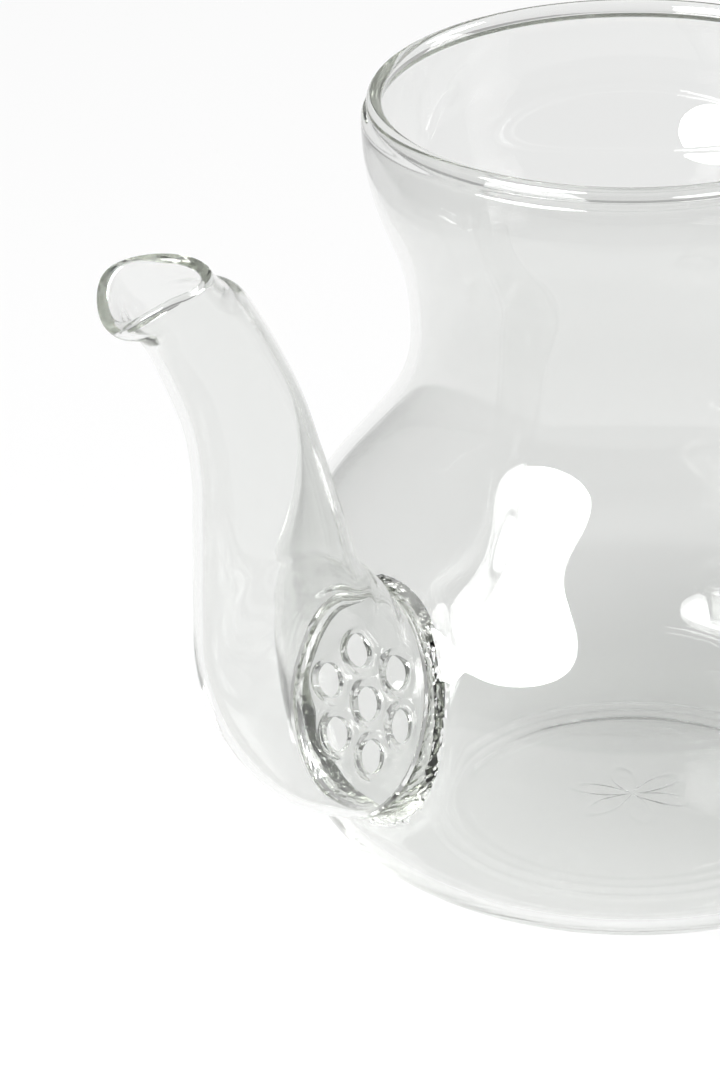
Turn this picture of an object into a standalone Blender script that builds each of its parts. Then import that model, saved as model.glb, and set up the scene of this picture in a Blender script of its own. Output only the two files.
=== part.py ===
"""Glass teapot: a blown pot with a strainer welded into its side, a spout and a loop handle.

The origin is the centre of the flat underside. +Z runs up the pot's axis, the spout points
along -X and the handle along +X. Sizes are in metres. Glass pieces that are fused on the real
pot are separate solids here, with a small gap where they meet.
"""

import math

import bmesh
import bpy
from mathutils import Matrix, Vector

MM = 0.001

# The pot's outer outline, from the rim down to the base.
POT_HEIGHT = 154.0 * MM
RIM_RADIUS = 50.0 * MM
RIM_BEAD = 3.0 * MM
FLARE_RADIUS = 51.0 * MM
FLARE_DEPTH = 4.5 * MM
WAIST_RADIUS = 42.4 * MM
WAIST_HEIGHT = 105.9 * MM
BELLY_RADIUS = 71.0 * MM
BELLY_HEIGHT = 42.0 * MM
BASE_RADIUS = 42.0 * MM
FLARE_PULL = 22.0 * MM
NECK_PULL = 24.8 * MM
SHOULDER_PULL = 32.7 * MM
HEEL_PULL = 22.0 * MM

# Glass thicknesses.
POT_WALL = 2.0 * MM
FLOOR_THICKNESS = 3.0 * MM
SPOUT_WALL = 1.7 * MM
SPOUT_BEAD = 2.4 * MM

# The oval side port, which the collar fills. Its axis tilts up as it leaves the pot, and the
# collar's outer face stands a little proud of the pot's side, measured on that axis.
PORT_HEIGHT = 49.9 * MM
PORT_TILT = math.radians(16.0)
COLLAR_PROUD = 0.3 * MM
COLLAR_HALF_HEIGHT = 22.9 * MM
COLLAR_HALF_WIDTH = 19.3 * MM
COLLAR_WALL = 2.2 * MM
COLLAR_CHAMFER = 0.5 * MM

# The perforated strainer, a shallow dish that bulges towards the inside of the pot.
STRAINER_THICKNESS = 2.0 * MM
STRAINER_SAG = 1.8 * MM
STRAINER_RECESS = 0.3 * MM
HOLE_RADIUS = 3.4 * MM
HOLE_CIRCLE_RADIUS = 10.1 * MM
HOLES_BELOW = 0.5 * MM
HOLES_ROUND = 6
HOLE_TURN = math.radians(25.0)

# The spout: how far its mouth stands out from the collar, and how high the mouth is.
SPOUT_REACH = 43.6 * MM
MOUTH_HEIGHT = 148.3 * MM
MOUTH_HALF_LENGTH = 10.3 * MM
MOUTH_HALF_WIDTH = 10.6 * MM
MOUTH_TILT = math.radians(86.0)
LIP_OUT = 0.4 * MM
LIP_DROP = 5.5 * MM
LIP_SPAN = 13.0 * MM

# The handle, a solid rod bent into a loop. Its crest and its outermost point lie at shares of
# its reach and height, and the pulls, shares too, shape the curves between them.
ROD_RADIUS = 5.0 * MM
HANDLE_REACH = 125.3 * MM
HANDLE_TOP_HEIGHT = 122.0 * MM
HANDLE_FOOT_HEIGHT = 45.0 * MM
HANDLE_CREST = 9.0 * MM
CREST_SHARE = 0.52
SIDE_SHARE = 0.62
TOP_PULL = 0.2
CREST_PULL_IN = 0.25
CREST_PULL_OUT = 0.30
SIDE_PULL_UP = 0.28
SIDE_PULL_DOWN = 0.45
FOOT_PULL = 0.5
PAD_RADIUS = 8.6 * MM
PAD_THICKNESS = 3.2 * MM
PAD_EDGE = 0.8 * MM

# Gap between fused pieces, and how finely the round shapes are cut.
GAP = 0.3 * MM
POT_SEGMENTS = 64
RING_SEGMENTS = 40
TUBE_SEGMENTS = 24
ROD_SEGMENTS = 14
HOLE_SEGMENTS = 16
STEPS_PER_CURVE = 7
STEPS_PER_STATION = 3
BEAD_STEPS = 6
MERGE = 0.001 * MM
SHARP_ANGLE = math.radians(40.0)

# How far the cutter of the port reaches each way, and how far in the ring's blank reaches.
PORT_CUT_DEPTH = BELLY_RADIUS / 2
COLLAR_DEPTH = BELLY_RADIUS / 4

CLEAR_GLASS = (0.93, 0.945, 0.93, 1.0)
WELD_GLASS = (0.90, 0.92, 0.90, 1.0)
GLASS_IOR = 1.47


def clear_scene():
    """Remove whatever the file holds before the teapot is made."""
    for item in list(bpy.data.objects):
        bpy.data.objects.remove(item, do_unlink=True)


def make_glass(name, colour, roughness):
    """A clear glass with the given tint."""
    material = bpy.data.materials.new(name)
    material.use_nodes = True
    shader = material.node_tree.nodes["Principled BSDF"]
    shader.inputs["Base Color"].default_value = colour
    shader.inputs["Roughness"].default_value = roughness
    shader.inputs["Metallic"].default_value = 0.0
    shader.inputs["IOR"].default_value = GLASS_IOR
    shader.inputs["Transmission Weight"].default_value = 1.0
    return material


def finish_object(name, bm, material=None):
    """Turn a bmesh into a named, smooth shaded object."""
    bmesh.ops.remove_doubles(bm, verts=bm.verts, dist=MERGE)
    bmesh.ops.recalc_face_normals(bm, faces=bm.faces)
    mesh = bpy.data.meshes.new(name)
    bm.to_mesh(mesh)
    bm.free()
    mesh.shade_smooth()
    mesh.set_sharp_from_angle(angle=SHARP_ANGLE)
    piece = bpy.data.objects.new(name, mesh)
    bpy.context.collection.objects.link(piece)
    if material is None:
        piece.hide_render = True
        piece.display_type = "WIRE"
    else:
        mesh.materials.append(material)
    return piece


def cut_away(piece, cutter):
    """Cut one object by another with an exact Boolean."""
    cut = piece.modifiers.new("cut_" + cutter.name, "BOOLEAN")
    cut.operation = "DIFFERENCE"
    cut.solver = "EXACT"
    cut.object = cutter


def bezier(start, start_pull, end_pull, end, steps):
    """Points along one cubic curve, without its last point."""
    points = []
    for step in range(steps):
        t = step / steps
        s = 1.0 - t
        points.append(start * s ** 3 + start_pull * 3 * s * s * t
                      + end_pull * 3 * s * t * t + end * t ** 3)
    return points


def pot_outline(grow=0.0):
    """The pot's outer outline from the flare under the rim to the base, as (radius, height)."""
    flare = Vector((FLARE_RADIUS, POT_HEIGHT - FLARE_DEPTH))
    waist = Vector((WAIST_RADIUS, WAIST_HEIGHT))
    belly = Vector((BELLY_RADIUS, BELLY_HEIGHT))
    base = Vector((BASE_RADIUS, 0.0))
    down = Vector((0.0, -1.0))
    out = Vector((1.0, 0.0))
    points = bezier(flare, flare + down * FLARE_PULL, waist - down * FLARE_PULL, waist,
                    STEPS_PER_CURVE)
    points += bezier(waist, waist + down * NECK_PULL, belly - down * SHOULDER_PULL, belly,
                     STEPS_PER_CURVE)
    points += bezier(belly, belly + down * HEEL_PULL, base + out * HEEL_PULL, base,
                     STEPS_PER_CURVE)
    points.append(base)
    return [point + outward * grow for point, outward in zip(points, outward_normals(points))]


def outward_normals(points):
    """The outward normal at each point of an outline that runs from top to bottom."""
    normals = []
    for index in range(len(points)):
        before = points[max(index - 1, 0)]
        after = points[min(index + 1, len(points) - 1)]
        along = (after - before).normalized()
        normals.append(Vector((-along.y, along.x)))
    normals[-1] = Vector((0.0, -1.0))
    return normals


def outline_radius(height):
    """The pot's outer radius at a height."""
    points = pot_outline()
    for upper, lower in zip(points, points[1:]):
        if lower.y <= height <= upper.y:
            share = (height - lower.y) / (upper.y - lower.y)
            return lower.x + (upper.x - lower.x) * share
    return FLARE_RADIUS


def arc(centre, radius, start, end, steps):
    """Points along a circular arc, in (radius, height) coordinates."""
    points = []
    for step in range(steps + 1):
        angle = start + (end - start) * step / steps
        points.append(centre + Vector((math.cos(angle), math.sin(angle))) * radius)
    return points


def turned(name, profile, segments, material=None, closed=False, squeeze=1.0):
    """Spin an outline of (radius, height) points round Z; squeeze makes it narrower in Y."""
    bm = bmesh.new()
    verts = [bm.verts.new((point.x, 0.0, point.y)) for point in profile]
    edges = [bm.edges.new(pair) for pair in zip(verts, verts[1:])]
    if closed:
        edges.append(bm.edges.new((verts[-1], verts[0])))
    bmesh.ops.spin(bm, geom=verts + edges, cent=(0, 0, 0), axis=(0, 0, 1),
                   angle=math.tau, steps=segments, use_merge=True)
    bmesh.ops.scale(bm, vec=(1.0, squeeze, 1.0), verts=bm.verts)
    return finish_object(name, bm, material)


def port_frame():
    """Places things on the port: local +Z leaves the pot, local +X points up its face."""
    reach = outline_radius(PORT_HEIGHT) + COLLAR_PROUD
    centre = Vector((-reach, 0.0, PORT_HEIGHT))
    return Matrix.Translation(centre) @ heading(PORT_TILT)


def oval(inset, lift):
    """The placing of a unit circle as an oval of the collar's outline, moved in and out."""
    place = port_frame() @ Matrix.Translation(Vector((0.0, 0.0, lift)))
    return place @ Matrix.Diagonal(Vector((COLLAR_HALF_HEIGHT - inset,
                                           COLLAR_HALF_WIDTH - inset, 1.0, 1.0)))


def heading(tilt):
    """A turn whose local +Z points along -X and up by a tilt, with local +Y unchanged."""
    along = Vector((-math.cos(tilt), 0.0, math.sin(tilt)))
    side = Vector((0.0, 1.0, 0.0))
    above = side.cross(along)
    return Matrix((above, side, along)).transposed().to_4x4()


def make_body(material):
    """The blown pot: a shell with a rolled rim, a thicker floor and the side port."""
    outer = pot_outline()
    bead_centre = Vector((RIM_RADIUS - RIM_BEAD / 2, POT_HEIGHT - RIM_BEAD / 2))
    rim = arc(bead_centre, RIM_BEAD / 2, math.pi, 0.0, BEAD_STEPS)
    inner = []
    heel_start = 2 * STEPS_PER_CURVE
    for index, (point, outward) in enumerate(zip(outer, outward_normals(outer))):
        share = max(0.0, (index - heel_start) / (len(outer) - 1 - heel_start))
        wall = POT_WALL + (FLOOR_THICKNESS - POT_WALL) * share
        inner.append(point - outward * wall)
    profile = rim + outer + [Vector((0.0, 0.0)), Vector((0.0, FLOOR_THICKNESS))]
    profile += list(reversed(inner))
    body = turned("body", profile, POT_SEGMENTS, material, closed=True)
    ends = [oval(-GAP, -PORT_CUT_DEPTH), oval(-GAP, PORT_CUT_DEPTH)]
    cutter = sweep("port_cutter", ends, RING_SEGMENTS, None, solid=True)
    cut_away(body, cutter)
    return body


def make_collar(material):
    """The thick oval ring that joins the pot, the strainer and the spout.

    Its outer face is flat, and its inner end follows the inside of the pot's wall.
    """
    bevel = COLLAR_CHAMFER
    places = [oval(bevel, 0.0), oval(0.0, -bevel), oval(0.0, -COLLAR_DEPTH),
              oval(COLLAR_WALL, -COLLAR_DEPTH), oval(COLLAR_WALL, 0.0)]
    places.append(places[0])
    collar = sweep("spout_collar", places, RING_SEGMENTS, material, solid=False)
    cut_away(collar, pot_solid("pot_hollow", -POT_WALL))
    return collar


def strainer_face(share):
    """The height of the strainer's outer face, at a share of the way out to its edge."""
    return -STRAINER_RECESS - STRAINER_SAG * (1.0 - share * share)


def make_strainer(material):
    """The dished oval plate with one hole in the middle and a ring of holes round it."""
    rings = 5
    edge = COLLAR_HALF_HEIGHT - COLLAR_WALL - GAP
    squeeze = (COLLAR_HALF_WIDTH - COLLAR_WALL - GAP) / edge
    face = [Vector((edge * step / rings, strainer_face(step / rings)))
            for step in range(rings + 1)]
    back = [point - Vector((0.0, STRAINER_THICKNESS)) for point in reversed(face)]
    plate = turned("strainer_plate", face + back, RING_SEGMENTS, material, squeeze=squeeze)
    plate.matrix_world = port_frame()
    centre = Vector((-HOLES_BELOW, 0.0, 0.0))
    spots = [centre]
    for index in range(HOLES_ROUND):
        angle = HOLE_TURN + math.tau * index / HOLES_ROUND
        ring = Vector((math.cos(angle), math.sin(angle), 0.0)) * HOLE_CIRCLE_RADIUS
        spots.append(centre + ring)
    depth = 2 * (STRAINER_SAG + STRAINER_THICKNESS)
    for index, spot in enumerate(spots):
        cutter = turned("hole_cutter_%d" % index,
                        [Vector((0.0, depth)), Vector((HOLE_RADIUS, depth)),
                         Vector((HOLE_RADIUS, -2 * depth)), Vector((0.0, -2 * depth))],
                        HOLE_SEGMENTS)
        cutter.matrix_world = port_frame() @ Matrix.Translation(spot)
        cut_away(plate, cutter)
    return plate


def between(stations, steps):
    """Smooth values through a list of stations, each a tuple of numbers."""
    rows = []
    last = len(stations) - 1
    for index in range(last):
        a = stations[max(index - 1, 0)]
        b = stations[index]
        c = stations[index + 1]
        d = stations[min(index + 2, last)]
        for step in range(steps):
            t = step / steps
            rows.append(tuple(
                0.5 * (2 * q + (r - p) * t + (2 * p - 5 * q + 4 * r - s) * t * t
                       + (3 * q - p - 3 * r + s) * t ** 3)
                for p, q, r, s in zip(a, b, c, d)))
    rows.append(stations[last])
    return rows


def spout_stations():
    """The spout's sections, from the collar to the mouth.

    Each is (how far out, how high, tilt, half height in the spout's plane, half width). The
    first is the bell on the collar and the last the mouth. The others lie at a share of the
    way out and of the way up between them, and keep a share of what the bell is larger by.
    """
    bell = port_frame() @ Vector((0.0, 0.0, GAP))
    rise = MOUTH_HEIGHT - bell.z
    swell_high = COLLAR_HALF_HEIGHT - MOUTH_HALF_LENGTH
    swell_wide = COLLAR_HALF_WIDTH - MOUTH_HALF_WIDTH
    shares = [
        (0.150, 0.044, 31.0, 0.950, 0.99),
        (0.276, 0.119, 46.0, 0.867, 0.95),
        (0.371, 0.204, 59.0, 0.700, 0.877),
        (0.426, 0.302, 71.0, 0.442, 0.63),
        (0.463, 0.448, 79.0, 0.275, 0.395),
        (0.509, 0.576, 77.0, 0.142, 0.20),
        (0.594, 0.714, 69.0, 0.075, 0.06),
        (0.786, 0.888, 62.0, 0.0, -0.04),
        (0.905, 0.944, 73.0, -0.05, -0.02),
    ]
    stations = [(-bell.x, bell.z, PORT_TILT, COLLAR_HALF_HEIGHT, COLLAR_HALF_WIDTH)]
    for out, up, tilt, high, wide in shares:
        stations.append((SPOUT_REACH * out - bell.x, bell.z + rise * up, math.radians(tilt),
                         MOUTH_HALF_LENGTH + swell_high * high,
                         MOUTH_HALF_WIDTH + swell_wide * wide))
    stations.append((SPOUT_REACH - bell.x, MOUTH_HEIGHT, MOUTH_TILT,
                     MOUTH_HALF_LENGTH, MOUTH_HALF_WIDTH))
    return stations


def section(station, inset=0.0, lift=0.0):
    """The placing of a unit circle on one section of the spout."""
    out, up, tilt, high, wide = station
    place = Matrix.Translation(Vector((-out, 0.0, up))) @ heading(tilt)
    place = place @ Matrix.Translation(Vector((0.0, 0.0, lift)))
    return place @ Matrix.Diagonal(Vector((high - inset, wide - inset, 1.0, 1.0)))


def sweep(name, places, segments, material, solid):
    """Extrude a unit circle from place to place; a hollow sweep ends where it starts."""
    bm = bmesh.new()
    bmesh.ops.create_circle(bm, segments=segments, radius=1.0)
    bmesh.ops.transform(bm, matrix=places[0], verts=bm.verts)
    edges = list(bm.edges)
    for before, after in zip(places, places[1:]):
        grown = bmesh.ops.extrude_edge_only(bm, edges=edges)["geom"]
        verts = [item for item in grown if isinstance(item, bmesh.types.BMVert)]
        edges = [item for item in grown if isinstance(item, bmesh.types.BMEdge)]
        bmesh.ops.transform(bm, matrix=after @ before.inverted(), verts=verts)
    if solid:
        bmesh.ops.holes_fill(bm, edges=bm.edges, sides=segments)
    return finish_object(name, bm, material)


def make_spout(material):
    """The spout: a bell that narrows into a bent tube, with a rolled mouth and a pouring lip."""
    rows = between(spout_stations(), STEPS_PER_STATION)
    places = [section(row) for row in rows]
    bead = SPOUT_BEAD / 2
    for step in range(1, BEAD_STEPS):
        angle = math.pi * step / BEAD_STEPS
        places.append(section(rows[-1], bead * (1.0 - math.cos(angle)), bead * math.sin(angle)))
    places.append(section(rows[-1], SPOUT_BEAD))
    places += [section(row, SPOUT_WALL) for row in reversed(rows[:-1])]
    places.append(places[0])
    spout = sweep("spout", places, TUBE_SEGMENTS, material, solid=False)
    tip = section(rows[-1]) @ Vector((-1.0, 0.0, 0.0))
    for vert in spout.data.vertices:
        near = max(0.0, 1.0 - (vert.co - tip).length / LIP_SPAN)
        pull = near * near * (3.0 - 2.0 * near)
        vert.co += Vector((-LIP_OUT, 0.0, -LIP_DROP)) * pull
    return spout


def handle_ends():
    """The middles of the two pads' outer faces, the upper one first."""
    top = Vector((outline_radius(HANDLE_TOP_HEIGHT) + PAD_THICKNESS, 0.0, HANDLE_TOP_HEIGHT))
    foot = Vector((outline_radius(HANDLE_FOOT_HEIGHT) + PAD_THICKNESS, 0.0, HANDLE_FOOT_HEIGHT))
    return top, foot


def rod_places():
    """Sections of the rod along the loop, from the upper pad to the lower one."""
    top, foot = handle_ends()
    out = Vector((1.0, 0.0, 0.0))
    edge = HANDLE_REACH - ROD_RADIUS
    height = top.z - foot.z
    reach = edge - top.x
    side = Vector((edge, 0.0, foot.z + SIDE_SHARE * height))
    crest = Vector((top.x + CREST_SHARE * reach, 0.0, top.z + HANDLE_CREST))
    start = top + out * GAP
    end = foot + out * GAP
    up = Vector((0.0, 0.0, 1.0))
    points = bezier(start, start + out * TOP_PULL * reach,
                    crest - out * CREST_PULL_IN * reach, crest, STEPS_PER_CURVE)
    points += bezier(crest, crest + out * CREST_PULL_OUT * reach,
                     side + up * SIDE_PULL_UP * height, side, STEPS_PER_CURVE)
    points += bezier(side, side - up * SIDE_PULL_DOWN * height,
                     end + out * FOOT_PULL * reach, end, 2 * STEPS_PER_CURVE)
    points.append(end)
    places = []
    for index, point in enumerate(points):
        before = points[max(index - 1, 0)]
        after = points[min(index + 1, len(points) - 1)]
        along = (after - before).normalized()
        if index in (0, len(points) - 1):
            along = out if index == 0 else -out
        across = Vector((0.0, 1.0, 0.0))
        turn = Matrix((across.cross(along), across, along)).transposed().to_4x4()
        size = Matrix.Diagonal(Vector((ROD_RADIUS, ROD_RADIUS, 1.0, 1.0)))
        places.append(Matrix.Translation(point) @ turn @ size)
    return places


def make_handle(material):
    """The loop handle, bent from solid rod."""
    return sweep("handle", rod_places(), ROD_SEGMENTS, material, solid=True)


def make_pad(name, centre, clearance, material):
    """A weld pad between the rod and the pot, hollowed to fit the pot's outline."""
    depth = 3 * PAD_THICKNESS
    edge = PAD_EDGE
    profile = [Vector((0.0, 0.0)), Vector((ROD_RADIUS, 0.0)),
               Vector((ROD_RADIUS + edge, -edge)), Vector((PAD_RADIUS, -PAD_THICKNESS)),
               Vector((PAD_RADIUS, -depth)), Vector((0.0, -depth))]
    pad = turned(name, profile, 2 * ROD_SEGMENTS, material)
    pad.matrix_world = Matrix.Translation(centre) @ Matrix.Rotation(math.pi / 2, 4, "Y")
    cut_away(pad, clearance)
    return pad


def pot_solid(name, grow):
    """A solid of the pot's outer outline, grown or shrunk, to cut other pieces by."""
    outline = pot_outline(grow)
    profile = [Vector((0.0, outline[0].y))] + outline + [Vector((0.0, outline[-1].y))]
    return turned(name, profile, POT_SEGMENTS)


def main():
    clear_scene()
    clear = make_glass("clear_glass", CLEAR_GLASS, 0.02)
    weld = make_glass("weld_glass", WELD_GLASS, 0.05)
    make_body(clear)
    make_collar(weld)
    make_strainer(clear)
    make_spout(clear)
    make_handle(clear)
    clearance = pot_solid("pot_clearance", GAP)
    top, foot = handle_ends()
    make_pad("handle_upper_weld", top, clearance, weld)
    make_pad("handle_lower_weld", foot, clearance, weld)


main()
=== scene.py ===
"""Looks for the glass teapot: clear glass pieces, their finishes, the floor, lights and camera."""

import math

import bmesh
import bpy
from mathutils import Matrix, Vector


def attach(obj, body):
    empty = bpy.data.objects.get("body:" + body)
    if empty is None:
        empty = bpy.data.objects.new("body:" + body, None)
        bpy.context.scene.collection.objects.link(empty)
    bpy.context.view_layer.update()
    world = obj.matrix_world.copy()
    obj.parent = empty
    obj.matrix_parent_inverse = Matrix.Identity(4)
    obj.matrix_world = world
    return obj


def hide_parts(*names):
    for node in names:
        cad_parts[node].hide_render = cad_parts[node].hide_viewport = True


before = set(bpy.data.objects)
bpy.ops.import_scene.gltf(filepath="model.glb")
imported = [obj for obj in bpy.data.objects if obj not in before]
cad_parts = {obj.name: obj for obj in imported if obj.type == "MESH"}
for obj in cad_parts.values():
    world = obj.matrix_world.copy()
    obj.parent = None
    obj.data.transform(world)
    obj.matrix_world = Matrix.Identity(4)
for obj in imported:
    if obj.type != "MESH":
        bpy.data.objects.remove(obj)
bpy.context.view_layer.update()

MM = 0.001

# The pot's outer outline, from the rim down to the base.
POT_HEIGHT = 154.0 * MM
RIM_RADIUS = 50.0 * MM
RIM_BEAD = 3.0 * MM
FLARE_RADIUS = 51.0 * MM
FLARE_DEPTH = 4.5 * MM
WAIST_RADIUS = 42.4 * MM
WAIST_HEIGHT = 105.9 * MM
BELLY_RADIUS = 71.0 * MM
BELLY_HEIGHT = 42.0 * MM
BASE_RADIUS = 42.0 * MM
FLARE_PULL = 22.0 * MM
NECK_PULL = 24.8 * MM
SHOULDER_PULL = 32.7 * MM
HEEL_PULL = 22.0 * MM
POT_WALL = 2.0 * MM
FLOOR_THICKNESS = 3.0 * MM
RIM_SWELL = 1.3 * MM
RIM_SWELL_DEPTH = 16.0 * MM
RIM_ARC_START = 200.0
RIM_ARC_END = -40.0
NOTCH_PULL = Vector((-0.35 * MM, -0.55 * MM))
NOTCH_RISE = 1.3 * MM

# The relief on the pot's floor: faint rings, a six-petal rosette and a shallow hollow below.
RING_RADII = (34.0 * MM, 37.2 * MM, 40.4 * MM)
RING_RELIEF = 0.30 * MM
RING_SPREAD = 2.0 * MM
PETALS = 6
PETAL_RADIUS = 12.0 * MM
PETAL_RELIEF = 0.14 * MM
PETAL_SPREAD = 1.7 * MM
PETAL_FADE = 5.0 * MM
CENTRE_SPREAD = 2.6 * MM
FOOT_RADIUS = 36.0 * MM
FOOT_HOLLOW = 0.7 * MM

# The side port and the ring, strainer and spout that sit in it.
PORT_HEIGHT = 49.9 * MM
PORT_TILT = math.radians(16.0)
COLLAR_PROUD = 0.3 * MM
COLLAR_HALF_HEIGHT = 22.9 * MM
COLLAR_HALF_WIDTH = 19.3 * MM
COLLAR_WALL = 2.2 * MM
COLLAR_ROUND = 0.7 * MM
FILLET = 1.5 * MM
FILLET_SPREAD = 0.22
STRAINER_THICKNESS = 2.0 * MM
STRAINER_SAG = 1.8 * MM
STRAINER_RECESS = 0.3 * MM
HOLE_RADIUS = 3.4 * MM
HOLE_CIRCLE_RADIUS = 10.1 * MM
HOLES_BELOW = 0.5 * MM
HOLES_ROUND = 6
HOLE_TURN = math.radians(25.0)
HOLE_LIP_WIDTH = 2.0 * MM
HOLE_LIP = 0.4 * MM
HOLE_THINNING = 2.2
SPOUT_WALL = 1.7 * MM
SPOUT_BEAD = 2.4 * MM
SPOUT_REACH = 43.6 * MM
MOUTH_HEIGHT = 148.3 * MM
MOUTH_HALF_LENGTH = 10.3 * MM
MOUTH_HALF_WIDTH = 10.6 * MM
MOUTH_TILT = math.radians(86.0)
LIP_OUT = 0.15 * MM
LIP_DROP = 5.5 * MM
LIP_SPAN = 13.0 * MM

# The handle and its pads. The crest and the outermost point lie at shares of the handle's reach
# and height, and the pulls, shares too, shape the curves between them.
ROD_RADIUS = 5.0 * MM
HANDLE_REACH = 125.15 * MM
HANDLE_TOP_HEIGHT = 122.0 * MM
HANDLE_FOOT_HEIGHT = 45.0 * MM
HANDLE_CREST = 9.0 * MM
CREST_SHARE = 0.52
SIDE_SHARE = 0.62
TOP_PULL = 0.2
CREST_PULL_IN = 0.25
CREST_PULL_OUT = 0.30
SIDE_PULL_UP = 0.28
SIDE_PULL_DOWN = 0.45
FOOT_PULL = 0.5
PAD_RADIUS = 8.6 * MM
PAD_THICKNESS = 3.2 * MM
PAD_EDGE = 0.8 * MM

# The hairline left between fused pieces, and how finely the round shapes are cut.
SEAM = 0.12 * MM
POT_SEGMENTS = 240
CURVE_STEPS = 34
RING_SEGMENTS = 112
TUBE_SEGMENTS = 80
STATION_STEPS = 9
BEAD_STEPS = 14
RIM_STEPS = 22
NOTCH_STEPS = 7
FOOT_STEPS = 14
FLOOR_STEPS = 66
PLATE_STEPS = 60
ROD_STEPS = 22
ROD_SEGMENTS = 40
PAD_STEPS = 12
PAD_SEGMENTS = 64
HOLE_SEGMENTS = 48
ROUND_STEP = 15
MERGE = 0.0005 * MM
CREASE = math.radians(38.0)


# Shapes -----------------------------------------------------------------------------------

def bezier(start, start_pull, end_pull, end, steps):
    """Points along one cubic curve, without its last point."""
    points = []
    for step in range(steps):
        t = step / steps
        s = 1.0 - t
        points.append(start * s ** 3 + start_pull * 3 * s * s * t
                      + end_pull * 3 * s * t * t + end * t ** 3)
    return points


def outward_normals(points):
    """The outward normal at each point of an outline that runs from top to bottom."""
    normals = []
    for index in range(len(points)):
        before = points[max(index - 1, 0)]
        after = points[min(index + 1, len(points) - 1)]
        along = (after - before).normalized()
        normals.append(Vector((-along.y, along.x)))
    normals[-1] = Vector((0.0, -1.0))
    return normals


def pot_outline(grow=0.0):
    """The pot's outer outline from the flare to the base, as (radius, height)."""
    flare = Vector((FLARE_RADIUS, POT_HEIGHT - FLARE_DEPTH))
    waist = Vector((WAIST_RADIUS, WAIST_HEIGHT))
    belly = Vector((BELLY_RADIUS, BELLY_HEIGHT))
    base = Vector((BASE_RADIUS, 0.0))
    down = Vector((0.0, -1.0))
    out = Vector((1.0, 0.0))
    points = bezier(flare, flare + down * FLARE_PULL, waist - down * FLARE_PULL, waist,
                    CURVE_STEPS)
    points += bezier(waist, waist + down * NECK_PULL, belly - down * SHOULDER_PULL, belly,
                     CURVE_STEPS)
    points += bezier(belly, belly + down * HEEL_PULL, base + out * HEEL_PULL, base,
                     CURVE_STEPS)
    points.append(base)
    return [point + outward * grow for point, outward in zip(points, outward_normals(points))]


PLAIN_OUTLINE = pot_outline()


def outline_radius(height):
    """The pot's outer radius at a height."""
    for upper, lower in zip(PLAIN_OUTLINE, PLAIN_OUTLINE[1:]):
        if lower.y <= height <= upper.y:
            share = (height - lower.y) / (upper.y - lower.y)
            return lower.x + (upper.x - lower.x) * share
    return FLARE_RADIUS


def arc(centre, radius, start, end, steps):
    """Points along a circular arc, in (radius, height) coordinates."""
    points = []
    for step in range(steps + 1):
        angle = math.radians(start + (end - start) * step / steps)
        points.append(centre + Vector((math.cos(angle), math.sin(angle))) * radius)
    return points


def heading(tilt):
    """A turn whose local +Z points along -X and up by a tilt, with local +Y unchanged."""
    along = Vector((-math.cos(tilt), 0.0, math.sin(tilt)))
    side = Vector((0.0, 1.0, 0.0))
    return Matrix((side.cross(along), side, along)).transposed().to_4x4()


def port_frame():
    """Places things on the port: local +Z leaves the pot, local +X points up its face."""
    reach = outline_radius(PORT_HEIGHT) + COLLAR_PROUD
    return Matrix.Translation(Vector((-reach, 0.0, PORT_HEIGHT))) @ heading(PORT_TILT)


def oval(inset, lift):
    """The placing of a unit circle as an oval of the ring's outline, moved in and out."""
    place = port_frame() @ Matrix.Translation(Vector((0.0, 0.0, lift)))
    return place @ Matrix.Diagonal(Vector((COLLAR_HALF_HEIGHT - inset,
                                           COLLAR_HALF_WIDTH - inset, 1.0, 1.0)))


def as_piece(name, bm):
    """A smooth shaded object at the origin from a bmesh."""
    bmesh.ops.remove_doubles(bm, verts=bm.verts, dist=MERGE)
    bmesh.ops.recalc_face_normals(bm, faces=bm.faces)
    mesh = bpy.data.meshes.new(name)
    bm.to_mesh(mesh)
    bm.free()
    piece = bpy.data.objects.new(name, mesh)
    bpy.context.collection.objects.link(piece)
    mesh.shade_smooth()
    mesh.set_sharp_from_angle(angle=CREASE)
    return piece


def turned(name, profile, segments, closed=False, place=Matrix(), squeeze=1.0):
    """Spin an outline of (radius, height) points round its axis, then put it in place."""
    bm = bmesh.new()
    verts = [bm.verts.new((point.x, 0.0, point.y)) for point in profile]
    edges = [bm.edges.new(pair) for pair in zip(verts, verts[1:])]
    if closed:
        edges.append(bm.edges.new((verts[-1], verts[0])))
    bmesh.ops.spin(bm, geom=verts + edges, cent=(0, 0, 0), axis=(0, 0, 1),
                   angle=math.tau, steps=segments, use_merge=True)
    bmesh.ops.scale(bm, vec=(1.0, squeeze, 1.0), verts=bm.verts)
    bmesh.ops.transform(bm, matrix=place, verts=bm.verts)
    return as_piece(name, bm)


def swept(name, places, segments, capped):
    """Carry a unit circle from place to place; a sweep that isn't capped ends where it starts."""
    bm = bmesh.new()
    bmesh.ops.create_circle(bm, segments=segments, radius=1.0)
    bmesh.ops.transform(bm, matrix=places[0], verts=bm.verts)
    edges = list(bm.edges)
    for before, after in zip(places, places[1:]):
        grown = bmesh.ops.extrude_edge_only(bm, edges=edges)["geom"]
        verts = [item for item in grown if isinstance(item, bmesh.types.BMVert)]
        edges = [item for item in grown if isinstance(item, bmesh.types.BMEdge)]
        bmesh.ops.transform(bm, matrix=after @ before.inverted(), verts=verts)
    if capped:
        bmesh.ops.holes_fill(bm, edges=bm.edges, sides=segments)
    return as_piece(name, bm)


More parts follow.
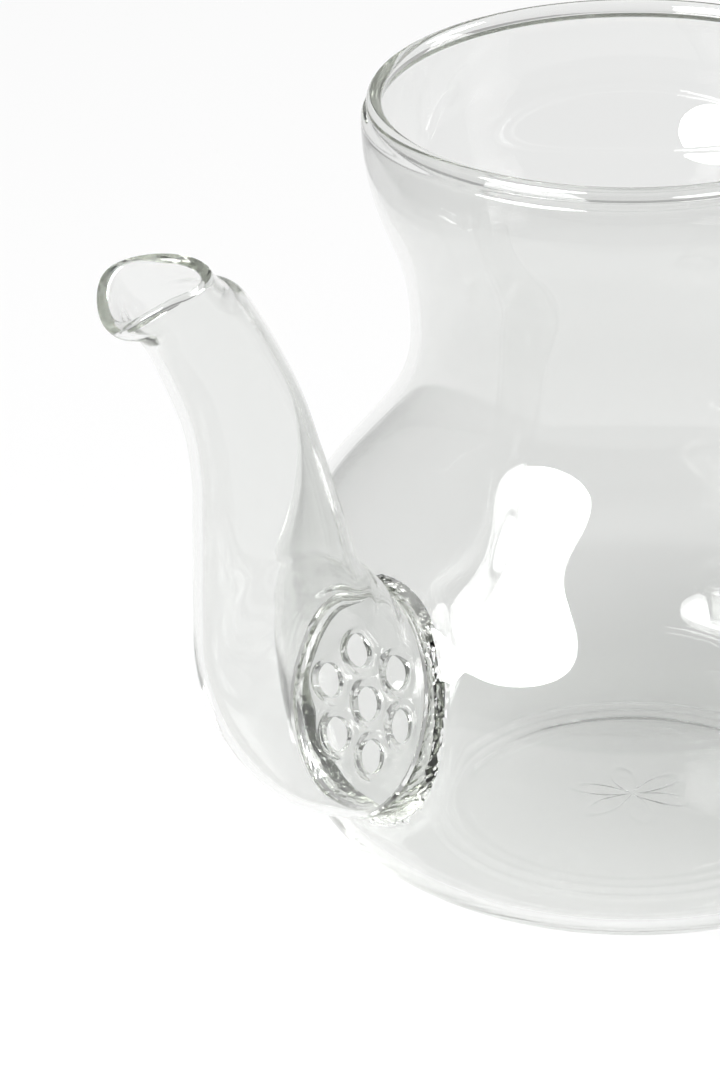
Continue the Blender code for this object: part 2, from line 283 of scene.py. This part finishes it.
def carve(piece, cutters):
    """Cut the cutters out of a piece for good, and take the cutters away."""
    for cutter in cutters:
        cut = piece.modifiers.new("cut", "BOOLEAN")
        cut.operation = "DIFFERENCE"
        cut.solver = "EXACT"
        cut.object = cutter
    depsgraph = bpy.context.evaluated_depsgraph_get()
    carved = bpy.data.meshes.new_from_object(piece.evaluated_get(depsgraph))
    piece.modifiers.clear()
    old = piece.data
    piece.data = carved
    bpy.data.meshes.remove(old)
    carved.name = piece.name
    for cutter in cutters:
        bpy.data.objects.remove(cutter)
    carved.shade_smooth()
    carved.set_sharp_from_angle(angle=CREASE)


def bump_shape(distance, width):
    """A smooth rise from 0 to 1 and back as the distance goes from -width to width."""
    share = max(0.0, 1.0 - abs(distance) / width)
    return share * share * (3.0 - 2.0 * share)


def floor_relief(x, y):
    """How far the pot's floor rises at a point: rings, and petals round the middle."""
    reach = math.hypot(x, y)
    rise = sum(RING_RELIEF * bump_shape(reach - radius, RING_SPREAD) for radius in RING_RADII)
    turn = math.atan2(y, x) * PETALS / 2
    edge = PETAL_RADIUS * abs(math.cos(turn))
    rise += (PETAL_RELIEF * bump_shape(reach - edge, PETAL_SPREAD)
             * min(1.0, reach / PETAL_FADE))
    rise += PETAL_RELIEF * bump_shape(reach, CENTRE_SPREAD)
    return rise


def make_pot():
    """The blown pot: a shell with a rolled rim, a thicker floor and the side port."""
    bead = RIM_BEAD / 2
    centre = Vector((RIM_RADIUS - bead, POT_HEIGHT - bead))
    rim = arc(centre, bead, RIM_ARC_START, RIM_ARC_END, RIM_STEPS)
    flare = Vector((FLARE_RADIUS, POT_HEIGHT - FLARE_DEPTH))
    notch = bezier(rim[-1], rim[-1] + NOTCH_PULL, flare + Vector((0.0, NOTCH_RISE)), flare,
                   NOTCH_STEPS)[1:]
    outer = pot_outline()
    heel_start = 2 * CURVE_STEPS
    inner = []
    for index, (point, outward) in enumerate(zip(outer, outward_normals(outer))):
        share = max(0.0, (index - heel_start) / (len(outer) - 1 - heel_start))
        near_rim = max(0.0, 1.0 - (POT_HEIGHT - FLARE_DEPTH - point.y) / RIM_SWELL_DEPTH)
        wall = POT_WALL + (FLOOR_THICKNESS - POT_WALL) * share + RIM_SWELL * near_rim ** 2
        inner.append(point - outward * wall)
    under = [Vector((FOOT_RADIUS * step / FOOT_STEPS,
                     FOOT_HOLLOW * math.cos(math.pi / 2 * step / FOOT_STEPS)))
             for step in range(FOOT_STEPS, -1, -1)]
    floor = [Vector((inner[-1].x * step / FLOOR_STEPS, FLOOR_THICKNESS))
             for step in range(FLOOR_STEPS)]
    profile = rim + notch + outer + under + floor + list(reversed(inner))
    pot = turned("pot_shell", profile, POT_SEGMENTS, closed=True)
    port_back = port_frame().inverted()
    out_of_port = heading(PORT_TILT) @ Vector((0.0, 0.0, 1.0))
    for vert in pot.data.vertices:
        reach = math.hypot(vert.co.x, vert.co.y)
        if abs(vert.co.z - FLOOR_THICKNESS) < 0.01 * MM and reach < inner[-1].x:
            vert.co.z += floor_relief(vert.co.x, vert.co.y)
        elif vert.co.x < 0.0 and reach > outline_radius(vert.co.z) - POT_WALL / 2:
            at = port_back @ vert.co
            off = math.hypot(at.x / COLLAR_HALF_HEIGHT, at.y / COLLAR_HALF_WIDTH)
            climb = max(0.0, 1.0 - abs(off - 1.0) / FILLET_SPREAD) ** 2
            vert.co += out_of_port * climb * min(FILLET, max(0.0, -at.z))
    depth = BELLY_RADIUS / 2
    carve(pot, [swept("port_cutter", [oval(-SEAM, -depth), oval(-SEAM, depth)],
                      RING_SEGMENTS, capped=True)])
    return pot


def pot_form(name, grow):
    """A solid of the pot's outer outline, grown or shrunk, to cut other pieces by."""
    outline = pot_outline(grow)
    profile = [Vector((0.0, outline[0].y))] + outline + [Vector((0.0, outline[-1].y))]
    return turned(name, profile, POT_SEGMENTS)


def make_ring():
    """The thick oval ring that joins the pot, the strainer and the spout."""
    depth = BELLY_RADIUS / 4
    soft = COLLAR_ROUND
    places = [oval(soft * (1 - math.sin(math.radians(a))), -soft * (1 - math.cos(math.radians(a))))
              for a in range(0, 91, ROUND_STEP)]
    places += [oval(0.0, -2.5 * MM), oval(0.0, -5.0 * MM), oval(0.0, -depth),
               oval(COLLAR_WALL, -depth), oval(COLLAR_WALL, -4.0 * MM)]
    places += [oval(COLLAR_WALL - soft * (1 - math.sin(math.radians(a))),
                    -soft * (1 - math.cos(math.radians(a)))) for a in range(90, -1, -ROUND_STEP)]
    places.append(places[0])
    ring = swept("port_ring", places, RING_SEGMENTS, capped=False)
    carve(ring, [pot_form("pot_hollow", -POT_WALL)])
    return ring


def hole_spots():
    """The middles of the strainer's holes, on the port's own face."""
    spots = [Vector((-HOLES_BELOW, 0.0))]
    for index in range(HOLES_ROUND):
        angle = HOLE_TURN + math.tau * index / HOLES_ROUND
        spots.append(spots[0] + Vector((math.cos(angle), math.sin(angle))) * HOLE_CIRCLE_RADIUS)
    return spots


def make_strainer():
    """The dished oval plate: seven holes, each with a raised, rounded lip."""
    edge = COLLAR_HALF_HEIGHT - COLLAR_WALL - SEAM
    squeeze = (COLLAR_HALF_WIDTH - COLLAR_WALL - SEAM) / edge
    face = []
    for step in range(PLATE_STEPS + 1):
        share = step / PLATE_STEPS
        face.append(Vector((edge * share,
                            -STRAINER_RECESS - STRAINER_SAG * (1.0 - share * share))))
    back = [point - Vector((0.0, STRAINER_THICKNESS)) for point in reversed(face)]
    plate = turned("strainer", face + back, RING_SEGMENTS, squeeze=squeeze)
    spots = hole_spots()
    middle = -STRAINER_RECESS - STRAINER_THICKNESS / 2
    for vert in plate.data.vertices:
        gap = min((Vector((vert.co.x, vert.co.y)) - spot).length for spot in spots)
        lift = HOLE_LIP * bump_shape(gap - HOLE_RADIUS, HOLE_LIP_WIDTH)
        reach = math.hypot(vert.co.x, vert.co.y / squeeze) / edge
        front = vert.co.z > middle - STRAINER_SAG * (1.0 - reach * reach)
        vert.co.z += (lift if front else HOLE_THINNING * lift) * (1.0 - reach ** 8)
    place = port_frame()
    plate.data.transform(place)
    depth = 3 * (STRAINER_SAG + STRAINER_THICKNESS)
    cutters = []
    for index, spot in enumerate(spots):
        profile = [Vector((0.0, depth)), Vector((HOLE_RADIUS, depth)),
                   Vector((HOLE_RADIUS, -depth)), Vector((0.0, -depth))]
        cutters.append(turned("hole_cutter_%d" % index, profile, HOLE_SEGMENTS,
                              place=place @ Matrix.Translation(spot.to_3d())))
    carve(plate, cutters)
    return plate


def between(stations, steps):
    """Smooth values through a list of stations, each a tuple of numbers."""
    rows = []
    last = len(stations) - 1
    for index in range(last):
        a = stations[max(index - 1, 0)]
        b = stations[index]
        c = stations[index + 1]
        d = stations[min(index + 2, last)]
        for step in range(steps):
            t = step / steps
            rows.append(tuple(
                0.5 * (2 * q + (r - p) * t + (2 * p - 5 * q + 4 * r - s) * t * t
                       + (3 * q - p - 3 * r + s) * t ** 3)
                for p, q, r, s in zip(a, b, c, d)))
    rows.append(stations[last])
    return rows


def spout_stations():
    """The spout's sections, from the ring to the mouth.

    Each is (how far out, how high, tilt, half height in the spout's plane, half width). The
    first is the bell on the ring and the last the mouth. The others lie at a share of the
    way out and of the way up between them, and keep a share of what the bell is larger by.
    """
    bell = port_frame() @ Vector((0.0, 0.0, SEAM))
    rise = MOUTH_HEIGHT - bell.z
    swell_high = COLLAR_HALF_HEIGHT - MOUTH_HALF_LENGTH
    swell_wide = COLLAR_HALF_WIDTH - MOUTH_HALF_WIDTH
    shares = [
        (0.150, 0.044, 31.0, 0.950, 0.99),
        (0.276, 0.119, 46.0, 0.867, 0.95),
        (0.371, 0.204, 59.0, 0.700, 0.877),
        (0.426, 0.302, 71.0, 0.442, 0.63),
        (0.463, 0.448, 79.0, 0.275, 0.395),
        (0.509, 0.576, 77.0, 0.142, 0.20),
        (0.594, 0.714, 69.0, 0.075, 0.06),
        (0.786, 0.888, 62.0, 0.0, -0.04),
        (0.905, 0.944, 73.0, -0.05, -0.02),
    ]
    stations = [(-bell.x, bell.z, PORT_TILT, COLLAR_HALF_HEIGHT, COLLAR_HALF_WIDTH)]
    for out, up, tilt, high, wide in shares:
        stations.append((SPOUT_REACH * out - bell.x, bell.z + rise * up, math.radians(tilt),
                         MOUTH_HALF_LENGTH + swell_high * high,
                         MOUTH_HALF_WIDTH + swell_wide * wide))
    stations.append((SPOUT_REACH - bell.x, MOUTH_HEIGHT, MOUTH_TILT,
                     MOUTH_HALF_LENGTH, MOUTH_HALF_WIDTH))
    return stations


def section(station, inset=0.0, lift=0.0):
    """The placing of a unit circle on one section of the spout."""
    out, up, tilt, high, wide = station
    place = Matrix.Translation(Vector((-out, 0.0, up))) @ heading(tilt)
    place = place @ Matrix.Translation(Vector((0.0, 0.0, lift)))
    return place @ Matrix.Diagonal(Vector((high - inset, wide - inset, 1.0, 1.0)))


def make_spout():
    """The spout: a bell that narrows into a bent tube, with a rolled mouth and a lip."""
    rows = between(spout_stations(), STATION_STEPS)
    places = [section(row) for row in rows]
    bead = SPOUT_BEAD / 2
    for step in range(1, BEAD_STEPS):
        angle = math.pi * step / BEAD_STEPS
        places.append(section(rows[-1], bead * (1.0 - math.cos(angle)), bead * math.sin(angle)))
    places.append(section(rows[-1], SPOUT_BEAD))
    places += [section(row, SPOUT_WALL) for row in reversed(rows[:-1])]
    places.append(places[0])
    spout = swept("spout_tube", places, TUBE_SEGMENTS, capped=False)
    tip = section(rows[-1]) @ Vector((-1.0, 0.0, 0.0))
    for vert in spout.data.vertices:
        near = max(0.0, 1.0 - (vert.co - tip).length / LIP_SPAN)
        vert.co += Vector((-LIP_OUT, 0.0, -LIP_DROP)) * near * near * (3.0 - 2.0 * near)
    return spout


def rod_places():
    """Sections of the handle's rod, from the upper pad round to the lower one."""
    out = Vector((1.0, 0.0, 0.0))
    up = Vector((0.0, 0.0, 1.0))
    top = Vector((outline_radius(HANDLE_TOP_HEIGHT) + PAD_THICKNESS, 0.0, HANDLE_TOP_HEIGHT))
    foot = Vector((outline_radius(HANDLE_FOOT_HEIGHT) + PAD_THICKNESS, 0.0, HANDLE_FOOT_HEIGHT))
    edge = HANDLE_REACH - ROD_RADIUS
    height = top.z - foot.z
    reach = edge - top.x
    side = Vector((edge, 0.0, foot.z + SIDE_SHARE * height))
    crest = Vector((top.x + CREST_SHARE * reach, 0.0, top.z + HANDLE_CREST))
    start = top + out * SEAM
    end = foot + out * SEAM
    points = bezier(start, start + out * TOP_PULL * reach,
                    crest - out * CREST_PULL_IN * reach, crest, ROD_STEPS)
    points += bezier(crest, crest + out * CREST_PULL_OUT * reach,
                     side + up * SIDE_PULL_UP * height, side, ROD_STEPS)
    points += bezier(side, side - up * SIDE_PULL_DOWN * height,
                     end + out * FOOT_PULL * reach, end, 2 * ROD_STEPS)
    points.append(end)
    places = []
    for index, point in enumerate(points):
        before = points[max(index - 1, 0)]
        after = points[min(index + 1, len(points) - 1)]
        along = (after - before).normalized()
        if index in (0, len(points) - 1):
            along = out if index == 0 else -out
        across = Vector((0.0, 1.0, 0.0))
        turn = Matrix((across.cross(along), across, along)).transposed().to_4x4()
        size = Matrix.Diagonal(Vector((ROD_RADIUS, ROD_RADIUS, 1.0, 1.0)))
        places.append(Matrix.Translation(point) @ turn @ size)
    return places


def make_handle():
    """The loop handle, bent from solid rod."""
    return swept("handle_rod", rod_places(), ROD_SEGMENTS, capped=True)


def make_pad(name, height):
    """A weld pad between the rod and the pot, hollowed to fit the pot's side."""
    depth = 3 * PAD_THICKNESS
    shoulder = bezier(Vector((ROD_RADIUS, 0.0)),
                      Vector((ROD_RADIUS + PAD_EDGE, -PAD_EDGE)),
                      Vector((PAD_RADIUS, -0.4 * PAD_THICKNESS)),
                      Vector((PAD_RADIUS, -PAD_THICKNESS)), PAD_STEPS)
    profile = [Vector((0.0, 0.0)), Vector((0.6 * ROD_RADIUS, 0.0))] + shoulder
    profile += [Vector((PAD_RADIUS, -PAD_THICKNESS)), Vector((PAD_RADIUS, -depth)),
                Vector((0.0, -depth))]
    centre = Vector((outline_radius(height) + PAD_THICKNESS, 0.0, height))
    place = Matrix.Translation(centre) @ Matrix.Rotation(math.pi / 2, 4, "Y")
    pad = turned(name, profile, PAD_SEGMENTS, place=place)
    carve(pad, [pot_form("pot_side", SEAM)])
    return pad


# Finishes ---------------------------------------------------------------------------------

GLASS_INDEX = 1.47
GLASS_TONE = (0.50, 0.54, 0.44, 1.0)
LAMP_SHADE = (0.86, 0.87, 0.86, 1.0)
EDGE_BAND = 0.06
EDGE_FADE = 30.0
EDGE_DEPTH = 14.0 * MM
EDGE_DEPTH_FADE = 3.0 * MM


class Value:
    """A socket's number, so that sums on it add Math nodes."""

    def __init__(self, nodes, socket):
        self.nodes = nodes
        self.socket = socket

    def join(self, operation, *numbers, clamp=False):
        made = self.nodes.add("ShaderNodeMath", {"operation": operation, "use_clamp": clamp},
                              dict(enumerate(numbers)))
        return made["Value"]

    def __add__(self, other):
        return self.join("ADD", self, other)

    def __sub__(self, other):
        return self.join("SUBTRACT", self, other)

    def __rsub__(self, other):
        return self.join("SUBTRACT", other, self)

    def __mul__(self, other):
        return self.join("MULTIPLY", self, other)

    def __truediv__(self, other):
        return self.join("DIVIDE", self, other)

    def clamped(self):
        return self.join("ADD", self, 0.0, clamp=True)


class Nodes:
    """The node tree of one finish."""

    def __init__(self, tree):
        self.tree = tree
        tree.nodes.clear()

    def add(self, kind, settings=None, sockets=None):
        """A node with its settings, then the values or links of its sockets."""
        node = self.tree.nodes.new(kind)
        for key, value in (settings or {}).items():
            if key == "stops":
                ramp = node.color_ramp
                while len(ramp.elements) < len(value):
                    ramp.elements.new(1.0)
                for element, (position, colour) in zip(ramp.elements, value):
                    element.position = position
                    element.color = colour
            else:
                setattr(node, key, value)
        for key, value in (sockets or {}).items():
            if isinstance(value, Value):
                self.tree.links.new(value.socket, node.inputs[key])
            else:
                node.inputs[key].default_value = value
        return {out.name: Value(self, out) for out in node.outputs if out.enabled}

    def edge(self, place, direction, start, soft):
        """From 0 to 1 as a place passes a line that lies across a direction."""
        along = self.add("ShaderNodeVectorMath", {"operation": "DOT_PRODUCT"},
                         {0: place, 1: direction})["Value"]
        return self.add("ShaderNodeMapRange", {"interpolation_type": "SMOOTHSTEP"},
                        {"Value": along, "From Min": start - soft, "From Max": start + soft,
                         "To Min": 0.0, "To Max": 1.0})["Result"]


def see_through_shade(nodes, shader):
    """Lets light rays that look for a lamp pass straight through the glass."""
    path = nodes.add("ShaderNodeLightPath")
    clear = nodes.add("ShaderNodeBsdfTransparent", None, {"Color": LAMP_SHADE})
    return nodes.add("ShaderNodeMixShader", None, {0: path["Is Shadow Ray"], 1: shader,
                                                   2: clear["BSDF"]})["Shader"]


def glass(name, ripple, ripple_size, grain=0.0, grain_size=1.0, stretch=(1.0, 1.0, 1.0),
          density=3.0, clarity=0.886, polish=0.0, ground_edge=False):
    """Clear glass with a slow ripple in its surface and, where it was worked hot, a grain.

    The grain is all over the piece, or only round the outside of the port's ring.
    """
    material = bpy.data.materials.new(name)
    material.use_nodes = True
    nodes = Nodes(material.node_tree)
    place = nodes.add("ShaderNodeTexCoord")["Object"]
    drawn = nodes.add("ShaderNodeMapping", None, {"Vector": place, "Scale": stretch})["Vector"]
    wave = nodes.add("ShaderNodeTexNoise", None,
                     {"Vector": drawn, "Scale": 1.0 / ripple_size, "Detail": 2.0,
                      "Roughness": 0.4})["Fac"]
    height = wave * ripple
    if grain:
        cells = nodes.add("ShaderNodeTexVoronoi", {"feature": "SMOOTH_F1"},
                          {"Vector": drawn, "Scale": 1.0 / grain_size,
                           "Smoothness": 0.4})["Distance"]
        if ground_edge:
            port = port_frame()
            face = nodes.add("ShaderNodeMapping", {"vector_type": "TEXTURE"},
                             {"Vector": place, "Location": port.to_translation(),
                              "Rotation": port.to_euler(),
                              "Scale": (COLLAR_HALF_HEIGHT, COLLAR_HALF_WIDTH, 1.0)})["Vector"]
            flat = nodes.add("ShaderNodeVectorMath", {"operation": "MULTIPLY"},
                             {0: face, 1: (1.0, 1.0, 0.0)})["Vector"]
            reach = nodes.add("ShaderNodeVectorMath", {"operation": "LENGTH"},
                              {0: flat})["Value"]
            off_edge = reach.join("ABSOLUTE", reach - 1.0)
            depth = nodes.add("ShaderNodeSeparateXYZ", None, {"Vector": face})["Z"]
            near = ((depth + EDGE_DEPTH) / EDGE_DEPTH_FADE).clamped()
            cells = cells * ((EDGE_BAND - off_edge) * EDGE_FADE).clamped() * near
        height = height + cells * grain
    normal = nodes.add("ShaderNodeBump", None,
                       {"Strength": 1.0, "Distance": 1.0, "Height": height})["Normal"]
    haze = nodes.add("ShaderNodeTexNoise", None,
                     {"Vector": place, "Scale": 60.0, "Detail": 3.0})["Fac"]
    shader = nodes.add("ShaderNodeBsdfPrincipled", None, {
        "Base Color": (clarity, clarity + 0.005, clarity - 0.002, 1.0),
        "Roughness": (haze * haze) * polish,
        "Transmission Weight": 1.0,
        "IOR": GLASS_INDEX,
        "Normal": normal})["BSDF"]
    tint = nodes.add("ShaderNodeVolumeAbsorption", None,
                     {"Color": GLASS_TONE, "Density": density})["Volume"]
    nodes.add("ShaderNodeOutputMaterial", None,
              {"Surface": see_through_shade(nodes, shader), "Volume": tint})
    return material


# The pieces -------------------------------------------------------------------------------

blown = glass("blown_pot_glass", 0.00010, 0.030, grain=0.00030, grain_size=0.0018,
              polish=0.03, ground_edge=True)
drawn = glass("drawn_spout_glass", 0.00012, 0.022, stretch=(1.0, 1.0, 0.5), clarity=0.908,
              polish=0.03)
pressed = glass("pressed_strainer_glass", 0.00010, 0.006, density=3.5, polish=0.06)
ground = glass("ground_ring_glass", 0.00016, 0.006, grain=0.00055, grain_size=0.0021,
               density=90.0, polish=0.05, ground_edge=True)
fused = glass("fused_weld_glass", 0.00025, 0.005, grain=0.00015, grain_size=0.0030,
              density=3.5, polish=0.08)
rod = glass("bent_rod_glass", 0.00010, 0.020, density=3.5, polish=0.03)

PIECES = (
    (make_pot(), "body", "clear_glass", blown),
    (make_ring(), "spout_collar", "weld_glass", ground),
    (make_strainer(), "strainer_plate", "strainer_glass", pressed),
    (make_spout(), "spout", "clear_glass", drawn),
    (make_handle(), "handle", "handle_glass", rod),
    (make_pad("upper_weld_pad", HANDLE_TOP_HEIGHT), "handle_upper_weld", "weld_glass", fused),
    (make_pad("lower_weld_pad", HANDLE_FOOT_HEIGHT), "handle_lower_weld", "weld_glass", fused),
)
for piece, node, slot, finish in PIECES:
    piece.data.materials.clear()
    piece.data.materials.append(finish)
    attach(piece, "root")
    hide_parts(node)


# The floor, the lights and the camera -----------------------------------------------------

AXIS_HEIGHT = 60.0 * MM
CAMERA_AZIMUTH = math.radians(-43.0)
CAMERA_RISE = math.radians(26.0)
CAMERA_DISTANCE = 1.055
CAMERA_YAW = math.atan(272.0 / 5400.0)
LENS = 180.0
# The floor's glow: pale on the board, painted shade round it, and a painted soft shadow of the
# pot.
BOARD_LEFT = -0.305
BOARD_FRONT = -0.365
BOARD_SOFT = 0.02
BOARD_SHADE = 0.84
SURROUND_SHADE = 0.30
SHADOW_ASIDE = 0.050
SHADOW_BEHIND = 0.035
SHADOW_CORE = 0.03
SHADOW_REACH = 0.115
SHADOW_DEPTH = 0.29
FLOOR_HALF = 6.0
FLOOR_SHADE = 0.07
ROOM_SHADE = 0.45
DARK_SHADE = 0.06
DARK_EDGE = 0.38
DARK_SOFT = 0.34
LIGHT_DISTANCE = 1.3
LIGHT_BOUNCES = 96
SEE_THROUGH_BOUNCES = 32


def from_pot(azimuth, rise):
    """The direction from the pot at an azimuth and a rise; azimuth 0 is towards -Y."""
    return Vector((math.sin(azimuth) * math.cos(rise), -math.cos(azimuth) * math.cos(rise),
                   math.sin(rise)))


def make_floor():
    """A pale glowing board under the pot, with a painted soft shadow, on a wide floor in painted
    shade.
    """
    bm = bmesh.new()
    bmesh.ops.create_grid(bm, x_segments=1, y_segments=1, size=FLOOR_HALF)
    floor = as_piece("floor", bm)
    material = bpy.data.materials.new("pale_floor")
    material.use_nodes = True
    nodes = Nodes(material.node_tree)
    place = nodes.add("ShaderNodeTexCoord")["Object"]
    ahead = from_pot(CAMERA_AZIMUTH, 0.0)
    aside = Vector((math.cos(CAMERA_AZIMUTH), math.sin(CAMERA_AZIMUTH), 0.0))
    front = nodes.edge(place, -ahead, BOARD_FRONT, BOARD_SOFT)
    left = nodes.edge(place, aside, BOARD_LEFT, BOARD_SOFT)
    # Painted soft shadow of the pot in the floor's glow, darkest round a point behind and right of
    # its axis.
    away = nodes.add("ShaderNodeVectorMath", {"operation": "DISTANCE"},
                     {0: place, 1: aside * SHADOW_ASIDE - ahead * SHADOW_BEHIND})["Value"]
    clear = nodes.add("ShaderNodeMapRange", {"interpolation_type": "SMOOTHSTEP"},
                      {"Value": away, "From Min": SHADOW_CORE, "From Max": SHADOW_REACH,
                       "To Min": 1.0 - SHADOW_DEPTH, "To Max": 1.0})["Result"]
    # The glow is pale on the board and falls off into painted shade beyond its front and left
    # edges.
    glow_falling_into_shade = front * left * (BOARD_SHADE - SURROUND_SHADE) + SURROUND_SHADE
    shade = glow_falling_into_shade * clear
    glow = nodes.add("ShaderNodeCombineColor", None,
                     {"Red": shade, "Green": shade, "Blue": shade})["Color"]
    shader = nodes.add("ShaderNodeBsdfPrincipled", None, {
        "Base Color": (FLOOR_SHADE, FLOOR_SHADE, FLOOR_SHADE, 1.0), "Roughness": 0.9,
        "Specular IOR Level": 0.0,
        "Emission Color": glow, "Emission Strength": 1.0})["BSDF"]
    nodes.add("ShaderNodeOutputMaterial", None, {"Surface": shader})
    floor.data.materials.append(material)


def make_softbox(name, azimuth, rise, wide, high, power):
    """A soft oval light that faces the pot."""
    lamp = bpy.data.lights.new(name, "AREA")
    lamp.shape = "ELLIPSE"
    lamp.size = wide
    lamp.size_y = high
    lamp.energy = power
    panel = bpy.data.objects.new(name, lamp)
    toward = from_pot(math.radians(azimuth), math.radians(rise))
    panel.location = toward * LIGHT_DISTANCE + Vector((0.0, 0.0, AXIS_HEIGHT))
    panel.rotation_euler = toward.to_track_quat("Z", "Y").to_euler()
    panel.visible_camera = False
    bpy.context.collection.objects.link(panel)


def make_world():
    """A pale room, dark behind the camera."""
    world = bpy.data.worlds.new("room")
    bpy.context.scene.world = world
    world.use_nodes = True
    nodes = Nodes(world.node_tree)
    toward = nodes.add("ShaderNodeTexCoord")["Generated"]
    dark = nodes.edge(toward, from_pot(CAMERA_AZIMUTH, CAMERA_RISE), DARK_EDGE, DARK_SOFT)
    shade = ROOM_SHADE - dark * (ROOM_SHADE - DARK_SHADE)
    background = nodes.add("ShaderNodeBackground", None,
                           {"Color": (1.0, 1.0, 1.0, 1.0), "Strength": shade})["Background"]
    nodes.add("ShaderNodeOutputWorld", None, {"Surface": background})


def make_camera():
    """A long lens that looks down on the spout's side, with the pot right of the middle."""
    back = from_pot(CAMERA_AZIMUTH, CAMERA_RISE)
    right = Vector((math.cos(CAMERA_AZIMUTH), math.sin(CAMERA_AZIMUTH), 0.0))
    up = back.cross(right)
    turn = Matrix.Rotation(CAMERA_YAW, 3, up) @ Matrix((right, up, back)).transposed()
    lens = bpy.data.cameras.new("camera")
    lens.lens = LENS
    lens.sensor_width = 36.0
    lens.clip_start = 0.05
    lens.clip_end = 50.0
    camera = bpy.data.objects.new("camera", lens)
    camera.matrix_world = (Matrix.Translation(back * CAMERA_DISTANCE
                                              + Vector((0.0, 0.0, AXIS_HEIGHT)))
                           @ turn.to_4x4())
    bpy.context.collection.objects.link(camera)
    bpy.context.scene.camera = camera


make_floor()
make_world()
make_softbox("left_softbox", -88.0, 33.0, 1.02, 0.84, 48.0)
make_softbox("right_softbox", 58.0, 38.0, 0.7, 0.6, 24.0)
make_camera()

scene = bpy.context.scene
scene.view_settings.view_transform = "Standard"
scene.cycles.max_bounces = LIGHT_BOUNCES
scene.cycles.transmission_bounces = LIGHT_BOUNCES
scene.cycles.glossy_bounces = LIGHT_BOUNCES
scene.cycles.transparent_max_bounces = SEE_THROUGH_BOUNCES
